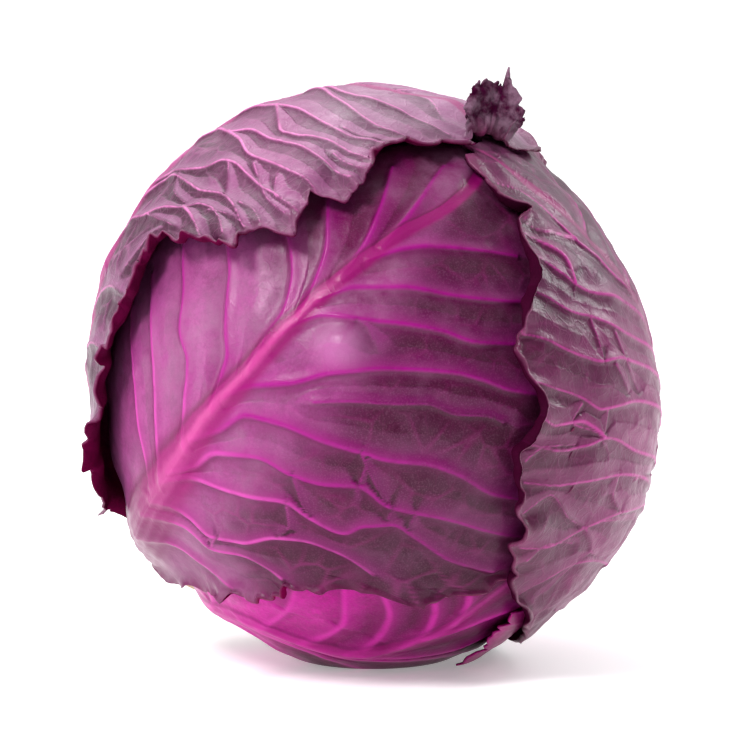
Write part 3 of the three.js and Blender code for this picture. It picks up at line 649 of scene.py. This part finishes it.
def leaf_masks(leaf, spot, shade):
    """Masks for the material; shade is 1 on the standing curl, which has no veins."""
    reach, taper, side = spot["reach"], spot["taper"], spot["crown_side"]
    beside = np.exp(-reach / 4)
    veined = {
        "vein": bell(reach, leaf["line_width"] * (0.3 + 0.7 * taper)) * (0.5 + 0.5 * taper),
        "halo": np.exp(-reach / leaf["halo_width"]) * taper,
        "under": beside * np.clip(-side, 0, 1),
        "over": beside * np.clip(side, 0, 1),
        "midrib": spot["midrib"],
        "knuckle": spot["knuckle"],
    }
    masks = {key: value * (1 - shade) for key, value in veined.items()}
    masks["net"] = spot["net"]
    masks["rib_side"] = np.clip(spot["rib_side"], -2.5, 2.5) * 0.2 + 0.5
    masks["edge"] = np.exp(-spot["to_margin"] / 2.5)
    masks["near"] = np.exp(-spot["to_margin"] / 14)
    masks["theta"] = spot["theta"] / 180
    masks["phi"] = spot["phi"] / 180
    masks["curled"] = shade
    masks["face"] = np.ones_like(shade)
    return masks


def build_leaf(name, leaf):
    rows = leaf["rows"]
    on_left, on_right = leaf["columns"]
    u = np.concatenate([-np.linspace(1, 0, on_left, endpoint=False), np.linspace(0, 1, on_right + 1)])
    across = np.sign(u) * np.abs(u)**1.08
    along = np.linspace(0, 1, rows + 1)[:, None] + np.zeros(len(u))
    spot = blade(leaf, along, across + np.zeros((rows + 1, 1)))
    spot.update(vein_field(name, leaf, spot))
    height = leaf_relief(leaf, spot)
    points = spot["point"]
    shade = np.zeros_like(height)
    if name == "leaf_top":
        steps = np.linspace(0.03, 1, CURL_ROWS)
        share = steps[:, None]
        standing_rows, standing = curl(leaf, across, steps)
        points = np.concatenate([points, standing_rows])
        height = np.concatenate([height, height[-1:] * (1 - share)])
        shade = np.concatenate([shade, standing * smoothstep(0, 0.3, share)])
        spot = {key: np.concatenate([value, np.repeat(value[-1:], CURL_ROWS, axis=0)])
                for key, value in spot.items()}
        far = (1 - share) * np.maximum(curve(CURL_LENGTH, across), CURL_LEAST)
        spot["to_margin"][-CURL_ROWS:] = np.minimum(spot["to_margin"][-CURL_ROWS:], far)
    thickness = BLADE_THICKNESS + BASE_EXTRA * (1 - smoothstep(14, 50, spot["on_midrib"]))
    for thin in (1 - smoothstep(0, 8, spot["to_margin"]), shade):
        thickness = thickness + (MARGIN_THICKNESS - thickness) * thin
    normals = grid_normals(points)
    outer = points + normals * height[..., None]
    inner = points - normals * thickness[..., None]
    return sheet_mesh(name + "_skin", outer, inner, leaf_masks(leaf, spot, shade))


def build_rings(name, rings, first, last):
    """Closed body through rings of points with a fan at each end."""
    count = rings.shape[1]
    vertices = np.concatenate([rings.reshape(-1, 3), [first], [last]]) / 1000
    j = np.arange(count)
    after = (j + 1) % count
    faces = []
    for i in range(len(rings) - 1):
        a, b = i * count, (i + 1) * count
        faces += np.stack([a + j, a + after, b + after, b + j], -1).tolist()
    end = (len(rings) - 1) * count
    middle = len(rings) * count
    faces += np.stack([np.full(count, middle), after, j], -1).tolist()
    faces += np.stack([np.full(count, middle + 1), end + j, end + after], -1).tolist()
    mesh = bpy.data.meshes.new(name)
    mesh.from_pydata(vertices.tolist(), [], faces)
    mesh.polygons.foreach_set("use_smooth", np.ones(len(faces), bool))
    return add_object(name, mesh)


def on_axis(phi, radius, distance):
    p = np.radians(phi)[..., None]
    ring = np.cos(p) * ZERO + np.sin(p) * SIDE
    return CENTRE - AXIS * distance + ring * np.asarray(radius)[..., None]


def build_heart():
    """Closed ball of inner leaves, with a flat round the core."""
    phi = np.arange(240) * 1.5
    hole = CORE_RADIUS + CORE_GAP
    start = CORE_START - CORE_GAP
    rings = [on_axis(phi, hole + 0 * phi, start)]
    mouth = math.degrees(math.asin(hole / (HEAD_RADIUS - HEART_DEPTH)))
    for theta in np.linspace(mouth, 178, 150):
        d = direction(theta, phi)
        turn = ((phi / 360 + 0.12 * theta / 180) * 3) % 1
        shown = smoothstep(mouth, mouth + 25, theta) * (1 - smoothstep(150, 174, theta))
        radius, free = layer(d, HEART_DEPTH)
        radius = radius - 1.2 * turn * shown - 0.4 * (1 + noise(d * HEAD_RADIUS, 9, 8)) * free
        rings.append(CENTRE + d * radius[..., None])
    top = CENTRE + CROWN * (layer(CROWN, HEART_DEPTH)[0] - 0.6)
    return build_rings("heart_skin", np.array(rings), CENTRE - AXIS * start, top)


def build_stalk():
    """Core and cut stalk: rings of (radius, distance), uneven where they are outside the head."""
    phi = np.arange(96) * 3.75
    profile = [
        (6.8, CORE_START), (CORE_RADIUS, 48), (CORE_RADIUS, 60), (CORE_RADIUS, 74), (9.8, 75.4),
        (11.1, 76.4), (11.6, 77.2), (11.8, 78.5), (11.9, 80), (11.8, 82), (11.5, 83.1), (11, 83.7),
        (10.2, STALK_END), (8, 83.9), (5.5, 83.75), (3, 83.8),
    ]
    lobes = 1 + 0.03 * np.sin(np.radians(5 * phi)) + 0.02 * np.sin(np.radians(2 * phi + 40))
    rings = []
    for radius, distance in profile:
        outside = distance > 74.5
        p = on_axis(phi, radius * (lobes if outside else np.ones_like(phi)), distance)
        if outside:
            p = p - AXIS * (0.25 * noise(p, 2.5, 9))[..., None]
        rings.append(p)
    face = CENTRE - AXIS * profile[-1][1]
    return build_rings("stalk_skin", np.array(rings)[::-1], face, CENTRE - AXIS * CORE_START)


def build_scrap():
    """Torn strip of leaf: u 0 to 1 from its held edge to its torn edge, v 0 to 1 along it."""
    u = np.linspace(0, 1, 60)[:, None]
    v = np.linspace(0, 1, 90)[None, :]
    along_edge = vector(v * 9 + 0 * u, 0, 0)
    tear = noise(along_edge, 1, 6) + 0.8 * noise(along_edge, 0.3, 10)
    theta = SCRAP_START[0] - SCRAP_SPAN[0] * v + 1.5 * np.sin(5 * v) * u
    phi = SCRAP_START[1] - SCRAP_SPAN[1] * u + 12 * v * (1 - u) + (1.6 * np.sin(11 * v) + 2.2 * tear) * u
    d = direction(theta, phi)
    radius, _ = layer(d, FRONT_DEPTH)
    radius = radius + 1.8 * v * smoothstep(0.4, 1, u) + 0.5 * np.sin(9 * v + 1) * u * (1 - u)
    outer = (CENTRE + d * radius[..., None])[:, ::-1]
    inner = (CENTRE + d * (radius - SCRAP_THICKNESS)[..., None])[:, ::-1]
    flat = np.zeros_like(theta)
    masks = {key: flat for key in ("vein", "halo", "under", "over", "midrib", "near", "curled", "knuckle")}
    masks["rib_side"] = flat + 1
    masks["net"] = bell(network(d * HEAD_RADIUS, 6, 4)[0], 1)
    masks["edge"] = np.exp(-(1 - u) * SCRAP_LENGTH / 2.5) + flat
    masks["theta"] = theta / 180
    masks["phi"] = phi / 180
    masks["face"] = flat + 1
    return sheet_mesh("scrap_skin", outer, inner, masks)


class Nodes:
    """Writes the node tree of a material or a world, one node a call."""

    def __init__(self, owner):
        self.owner = owner
        owner.use_nodes = True
        self.tree = owner.node_tree
        self.tree.nodes.clear()

    def put(self, kind, settings=None, **inputs):
        node = self.tree.nodes.new("ShaderNode" + kind)
        for key, value in (settings or {}).items():
            setattr(node, key, value)
        for key, value in inputs.items():
            numbered = key[0] == "i" and key[1:].isdigit()
            socket = node.inputs[int(key[1:]) if numbered else key.replace("_", " ")]
            if isinstance(value, bpy.types.NodeSocket):
                self.tree.links.new(value, socket)
            else:
                socket.default_value = value
        return node

    def place(self):
        return self.put("TexCoord").outputs["Object"]

    def mask(self, name):
        return self.put("Attribute", {"attribute_name": name}).outputs["Fac"]

    def noise(self, place, scale, detail, roughness=0.5, output="Fac"):
        node = self.put("TexNoise", Vector=place, Scale=scale, Detail=detail, Roughness=roughness)
        return node.outputs[output]

    def lines(self, place, scale, width):
        """Thin lines between cells."""
        cells = self.put("TexVoronoi", {"feature": "DISTANCE_TO_EDGE"}, Vector=place, Scale=scale)
        return self.clamp(cells.outputs["Distance"], 0, width, 1, 0)

    def maths(self, operation, a, b=0, c=0):
        return self.put("Math", {"operation": operation}, i0=a, i1=b, i2=c).outputs[0]

    def times(self, a, b):
        return self.maths("MULTIPLY", a, b)

    def clamp(self, value, low, high, to_low=0, to_high=1):
        return self.put("MapRange", {"interpolation_type": "SMOOTHSTEP"}, Value=value, From_Min=low,
                        From_Max=high, To_Min=to_low, To_Max=to_high).outputs[0]

    def mix(self, factor, a, b):
        return self.put("Mix", {"data_type": "RGBA"}, i0=factor, i6=a, i7=b).outputs[2]

    def coat(self, base, mask, amount, paint):
        """Paint over the base by a mask and an amount."""
        return self.mix(self.times(mask, amount), base, paint)


def colour(r, g, b):
    """Linear colour from the 0 to 255 values seen on a screen."""
    values = [v / 255 for v in (r, g, b)]
    return tuple(v / 12.92 if v <= 0.04045 else ((v + 0.055) / 1.055)**2.4 for v in values) + (1,)


def leaf_material(name, look):
    paints = {key: colour(*value) for key, value in look.items() if np.size(value) == 3}
    look = SimpleNamespace(**dict(look, **paints))
    n = Nodes(bpy.data.materials.new(name))
    place = n.place()
    broad = n.noise(place, 38, 3, 0.55)
    mottle = n.noise(place, 190, 4, 0.6)
    fine = n.noise(place, 900, 3, 0.6)
    grain = n.noise(place, 2300, 2)
    warp = n.noise(place, 120, 2, output="Color")
    shifted = n.put("VectorMath", {"operation": "MULTIPLY_ADD"}, i0=warp, i1=(0.006, 0.006, 0.006),
                    i2=place).outputs[0]
    veinlet = n.lines(shifted, look.veinlets, 0.09)
    hair = n.lines(shifted, look.veinlets * 2.7, 0.12)
    theta = n.times(n.mask("theta"), 180)
    phi = n.times(n.mask("phi"), 180)

    # Panels: light and dark zones, mottling, and the leaf's margin
    # On the front leaf the dark zone on its right is partly its own darker purple and partly painted shade on
    # the side turned from the key light
    dark = n.times(n.clamp(phi, *look.dark_round), n.clamp(theta, *look.dark_along))
    dark = n.maths("ADD", dark, n.times(n.maths("SUBTRACT", broad, 0.5), look.patchy))
    dark = n.clamp(dark, 0, 1)
    base = n.mix(dark, look.light, look.deep)
    # Top zone: painted shade where a leaf runs under the leaf above it, and a painted highlight over the
    # upper part of the top leaf
    base = n.coat(base, n.clamp(theta, *look.top_along), n.clamp(phi, *look.top_round), look.top)
    base = n.mix(n.clamp(mottle, 0.35, 0.7, 0, 0.35), base, look.deep)
    base = n.mix(n.clamp(fine, 0.4, 0.7, 0, 0.2), base, look.deep)
    base = n.mix(n.clamp(grain, 0.45, 0.75, 0, 0.12), base, look.bloom)
    # Knuckle: a painted sheen on the front leaf's bulge
    base = n.coat(base, n.mask("knuckle"), look.knuckle_amount, look.knuckle)
    base = n.coat(base, n.mask("near"), look.margin_dark, look.margin)

    # Beside the veins, painted shade on their stalk side and a paler crown side, the net of small veins, and
    # the bloom over them
    base = n.coat(base, n.clamp(n.mask("halo"), 0.12, 0.95), look.halo_amount, look.halo)
    # Painted shade on the stalk side of each vein, and painted light on its crown side; on the front leaf the
    # crown side is a magenta tint instead
    base = n.coat(base, n.mask("under"), look.under_amount, look.deep)
    base = n.coat(base, n.mask("over"), look.over_amount, look.over)
    base = n.coat(base, n.mask("net"), look.net_amount, look.net)
    base = n.coat(base, veinlet, look.veinlet_amount, look.net)
    base = n.coat(base, hair, look.veinlet_amount * 0.45, look.net)
    bloom = n.times(n.clamp(broad, 0.35, 0.75), n.clamp(mottle, 0.25, 0.75))
    bloom = n.times(bloom, look.bloom_amount)
    base = n.coat(base, bloom, n.clamp(dark, 0, 1, 1, 0.3), look.bloom)

    # Side veins, and the midrib with its crest, a painted highlight, and its groove, painted in the top
    # colour
    line = n.times(n.clamp(n.mask("vein"), 0.15, 0.9), look.vein_amount)
    # Vein lines: the veins' own magenta and pink, paler on the crests as a painted highlight
    vein = n.mix(n.clamp(theta, *look.pale_along), look.vein, look.vein_pale)
    base = n.coat(base, line, n.clamp(mottle, 0.3, 0.55, 0.55, 1), vein)
    across_rib = n.maths("MULTIPLY_ADD", n.maths("SUBTRACT", mottle, 0.5), 0.09, n.mask("rib_side"))
    # Crest: a painted highlight along the middle of the midrib
    crest = n.times(n.clamp(across_rib, 0.38, 0.47), n.clamp(across_rib, 0.62, 0.5))
    crest = n.times(crest, n.clamp(theta, *look.crest_along))
    rib_light = n.mix(n.clamp(theta, 42, 76), look.rib_base, look.rib_light)
    rib = n.mix(n.clamp(theta, 42, 70), look.rib_base, look.rib)
    rib = n.mix(crest, rib, rib_light)
    # Groove: painted shade in the top colour, and on the top leaf a paler painted line of light
    groove = n.times(n.clamp(across_rib, 0.22, 0.29), n.clamp(across_rib, 0.37, 0.31))
    rib = n.coat(rib, groove, look.groove_amount, look.top)
    base = n.mix(n.clamp(n.mask("midrib"), 0.03, 0.55, 0, look.rib_amount), base, rib)

    # What is tucked under a neighbour, the rim, the curl, and the leaf's other face
    base = n.mix(n.clamp(phi, *look.hidden_round), base, look.hidden)
    base = n.coat(base, n.mask("edge"), 0.6, look.rim)
    base = n.mix(n.mask("curled"), base, n.mix(n.clamp(mottle, 0.35, 0.65), look.curl, look.margin))
    # Other face; on the right leaf its near-black colour is painted shade
    back = n.maths("SUBTRACT", 1, n.maths("MAXIMUM", n.mask("face"), n.mask("curled")))
    base = n.coat(base, back, 0.95, look.back)

    height = n.maths("MULTIPLY_ADD", veinlet, 0.3, n.times(mottle, 0.8))
    height = n.maths("MULTIPLY_ADD", hair, 0.15, height)
    height = n.maths("MULTIPLY_ADD", fine, 0.35, height)
    bump = n.put("Bump", Strength=look.bump, Distance=0.0006, Height=height)
    gloss = n.times(n.mask("face"), n.clamp(phi, *look.gloss_round))
    shader = n.put(
        "BsdfPrincipled", Base_Color=base, Roughness=n.clamp(mottle, 0.25, 0.75, *look.rough),
        Normal=bump.outputs[0], IOR=1.42, Subsurface_Weight=look.glow, Subsurface_Radius=(0.9, 0.25, 0.6),
        Subsurface_Scale=0.004, Specular_IOR_Level=n.clamp(gloss, 0, 1, 0, look.specular),
    )
    n.put("OutputMaterial", Surface=shader.outputs[0])
    return n.owner


# Looks: colours as 0 to 255 on a screen, amounts, and zones: the degrees along or round the head
# where something begins and where it is full. WHOLE holds all of a leaf, and NOWHERE none of it.
WHOLE = (-210, -200)
NOWHERE = (400, 401)
FRONT_LOOK = dict(
    # dark zone: its own darker purple, and painted shade on the side turned from the key light
    light=(140, 64, 118), deep=(58, 4, 36), dark_round=(8, 33), dark_along=(52, 74), patchy=0.6,
    # top: painted shade under the top leaf's margin, also in the midrib's groove
    top=(84, 0, 54), top_along=(112, 134), top_round=(26, 4), margin=(46, 2, 26), margin_dark=0.5,
    # under: painted shade below each vein; over: a magenta tint above it
    halo=(136, 0, 104), halo_amount=0.65, under_amount=0.6, over=(144, 26, 116), over_amount=0.4,
    # knuckle: painted sheen on the bulge
    net=(134, 30, 100), net_amount=0.5, knuckle=(166, 92, 146), knuckle_amount=0.7, veinlets=210,
    veinlet_amount=0.05, bloom=(164, 112, 148), bloom_amount=0.4, vein=(140, 0, 112),
    vein_pale=(184, 62, 150), pale_along=(92, 76), vein_amount=0.85, rib=(128, 0, 88),
    # rib_light: painted highlight along the midrib's crest
    rib_light=(168, 54, 122), rib_base=(104, 30, 76), rib_amount=0.85, crest_along=(136, 110),
    groove_amount=0.85, gloss_round=(-52, -34), hidden=(150, 8, 84), hidden_round=(-44, -54),
    rim=(92, 14, 62), curl=(60, 30, 46), back=(110, 6, 60), bump=0.12, rough=(0.3, 0.44), specular=0.24,
    glow=0.08,
)
PLAIN_LOOK = dict(FRONT_LOOK, gloss_round=WHOLE, hidden_round=NOWHERE, knuckle_amount=0)
TOP_LOOK = dict(
    PLAIN_LOOK, light=(124, 46, 100), deep=(50, 0, 34), dark_round=(-100, -35), dark_along=(138, 102),
    # top: a painted highlight over the upper part of this leaf, also a pale line in the midrib's groove
    patchy=1, top=(154, 118, 142), top_along=(132, 148), top_round=(-8, -50), margin=(54, 8, 38),
    # under and over: painted shade below and painted light above each vein
    margin_dark=0.6, halo=(112, 26, 84), halo_amount=0.3, under_amount=0.95, over=(160, 98, 142),
    over_amount=0.55, net=(156, 84, 132), bloom=(160, 118, 150), bloom_amount=0.2, vein=(176, 66, 134),
    # vein_pale: pink vein crests, partly a painted highlight
    vein_pale=(210, 118, 178), pale_along=WHOLE, vein_amount=0.8, rib=(140, 50, 104),
    rib_light=(176, 86, 144), rib_base=(150, 60, 112), groove_amount=0.2, rim=(110, 44, 84),
    curl=(116, 88, 106), veinlets=240, veinlet_amount=0.1, bump=0.3, rough=(0.3, 0.48), glow=0.04,
    specular=0.36, back=(78, 4, 42),
)
RIGHT_LOOK = dict(
    TOP_LOOK, light=(134, 46, 102), deep=(68, 12, 46), dark_round=(140, 50), dark_along=(40, 80), patchy=0.9,
    # top: painted shade near the crown, where the top leaf's tip lies over this leaf, also in the midrib's
    # groove
    top=(66, 34, 56), top_along=(134, 150), top_round=(40, 60), margin=(78, 10, 50), margin_dark=0.4,
    # under and over: painted shade below and painted light above each vein
    halo=(128, 14, 92), halo_amount=0.45, under_amount=0.6, over=(146, 70, 118), over_amount=0.5,
    net=(144, 48, 110), net_amount=0.45, bloom=(136, 92, 122), bloom_amount=0.3, vein=(150, 20, 108),
    vein_pale=(182, 56, 142), vein_amount=0.95, rim=(124, 48, 90), bump=0.25, rough=(0.28, 0.44),
    # back: near black, painted shade in the gap under the rolled left margin
    specular=0.32, back=(40, 2, 22),
)
BOTTOM_LOOK = dict(
    PLAIN_LOOK, light=(190, 4, 144), deep=(70, 0, 46), dark_round=(44, 72), dark_along=(30, 50), patchy=0.3,
    # top: painted shade where this leaf runs under the leaves above it, also in the midrib's groove
    top=(64, 0, 42), top_along=(80, 98), top_round=(20, 60), halo=(176, 0, 132), net_amount=0.15,
    bloom_amount=0.06, vein=(178, 4, 134), vein_pale=(206, 44, 164), pale_along=WHOLE, vein_amount=0.45,
    rib=(130, 0, 92), rib_light=(176, 36, 134), rib_base=(176, 36, 134), rib_amount=0.5, glow=0.1,
    specular=0.16,
)
BACK_LOOK = dict(PLAIN_LOOK, dark_round=(150, 200), dark_along=(60, 100), top_round=NOWHERE)
INNER_LOOK = dict(
    BACK_LOOK, light=(140, 4, 94), deep=(64, 0, 40), dark_round=NOWHERE, bloom_amount=0.05, net=(96, 12, 66),
    rim=(190, 30, 140), back=(120, 4, 80), glow=0.05,
)


def stalk_material():
    n = Nodes(bpy.data.materials.new("stalk_flesh"))
    place = n.place()
    grain = n.noise(place, 420, 4, 0.6)
    patch = n.noise(place, 90, 3)
    pores = n.put("TexVoronoi", Vector=place, Scale=700).outputs["Distance"]
    base = n.mix(n.clamp(patch, 0.35, 0.7), colour(206, 192, 160), colour(160, 128, 96))
    base = n.mix(n.clamp(grain, 0.45, 0.75, 0, 0.5), base, colour(128, 88, 78))
    base = n.mix(n.clamp(pores, 0, 0.3, 0.4, 0), base, colour(226, 216, 190))
    height = n.maths("ADD", grain, n.times(pores, 0.5))
    bump = n.put("Bump", Strength=0.5, Distance=0.0006, Height=height)
    shader = n.put("BsdfPrincipled", Base_Color=base, Roughness=0.62, Normal=bump.outputs[0],
                   Subsurface_Weight=0.15, Subsurface_Scale=0.003)
    n.put("OutputMaterial", Surface=shader.outputs[0])
    return n.owner


def dress(thing, node, material):
    thing.data.materials.append(material)
    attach(thing, "root")
    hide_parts(node)


for leaf_name, leaf_data, leaf_look in (
    ("leaf_front", LEAF_FRONT, FRONT_LOOK),
    ("leaf_top", LEAF_TOP, TOP_LOOK),
    ("leaf_right", LEAF_RIGHT, RIGHT_LOOK),
    ("leaf_bottom", LEAF_BOTTOM, BOTTOM_LOOK),
    ("leaf_back", LEAF_BACK, BACK_LOOK),
):
    skin = build_leaf(leaf_name, leaf_data)
    dress(skin, leaf_name, leaf_material(leaf_name + "_look", leaf_look))
inner_material = leaf_material("inner_leaf_look", INNER_LOOK)
dress(build_scrap(), "torn_scrap", inner_material)
dress(build_heart(), "heart", inner_material)
dress(build_stalk(), "stalk", stalk_material())

# White floor
WHITE = (1, 1, 1, 1)
floor_mesh = bpy.data.meshes.new("floor")
floor_mesh.from_pydata([(-4, -3, 0), (4, -3, 0), (4, 6, 0), (-4, 6, 0)], [], [(0, 1, 2, 3)])
paper = Nodes(bpy.data.materials.new("floor_white"))
paper_shader = paper.put("BsdfPrincipled", Base_Color=(0.97, 0.97, 0.97, 1), Roughness=0.4,
                         Emission_Color=WHITE, Emission_Strength=0.28)
paper.put("OutputMaterial", Surface=paper_shader.outputs[0])
floor_mesh.materials.append(paper.owner)
add_object("floor", floor_mesh)

# Light: a white studio, bright behind and above, darker on the side of the camera
HEAD_MIDDLE = (0.0, 0.0, 0.08)
scene.world = bpy.data.worlds.new("room")
room = Nodes(scene.world)
way = room.put("SeparateXYZ", Vector=room.put("TexCoord").outputs["Generated"])
behind = room.clamp(way.outputs["Y"], -0.3, 0.7, 0.12, 0.8)
above = room.clamp(way.outputs["Z"], 0.2, 0.85, 0, 0.62)
lit = room.put("Background", Color=WHITE, Strength=room.maths("ADD", behind, above))
plain = room.put("Background", Color=WHITE, Strength=1)
seen = room.put("LightPath").outputs["Is Camera Ray"]
chosen = room.put("MixShader", i0=seen, i1=lit.outputs[0], i2=plain.outputs[0])
room.put("OutputWorld", Surface=chosen.outputs[0])


def soft_box(name, place, size, power):
    lamp = bpy.data.lights.new(name, "AREA")
    lamp.shape = "RECTANGLE"
    lamp.size, lamp.size_y = size
    lamp.energy = power
    thing = add_object(name, lamp)
    thing.location = place
    thing.rotation_euler = (Vector(HEAD_MIDDLE) - Vector(place)).to_track_quat("-Z", "Y").to_euler()


soft_box("box_key", (-0.62, -0.72, 0.98), (0.36, 0.36), 17)
soft_box("box_left", (-1, -0.2, 0.3), (0.5, 0.7), 5)
soft_box("box_right", (0.85, 0.5, 0.62), (0.2, 0.6), 5)
soft_box("box_top", (-0.35, 0.45, 1), (0.9, 0.5), 5)

# Camera
elevation = math.radians(ELEVATION)
forward = np.array([0.0, math.cos(elevation), -math.sin(elevation)])
up = np.array([0.0, math.sin(elevation), math.cos(elevation)])
right = np.array([1.0, 0.0, 0.0])
aim_point = CENTRE - right * (HEAD_AT_PIXEL[0] - IMAGE_WIDTH / 2) * MM_PER_PIXEL
aim_point = aim_point + up * (HEAD_AT_PIXEL[1] - IMAGE_WIDTH / 2) * MM_PER_PIXEL
stands_at = (aim_point - forward * DISTANCE) / 1000
optics = bpy.data.cameras.new("camera")
optics.sensor_width = SENSOR_WIDTH
optics.lens = SENSOR_WIDTH * DISTANCE / (IMAGE_WIDTH * MM_PER_PIXEL)
optics.clip_end = 50
camera = add_object("camera", optics)
camera.matrix_world = Matrix([*zip(right, up, -forward, stands_at), (0.0, 0.0, 0.0, 1.0)])
scene.camera = camera
scene.view_settings.view_transform = "Standard"
scene.view_settings.look = "None"
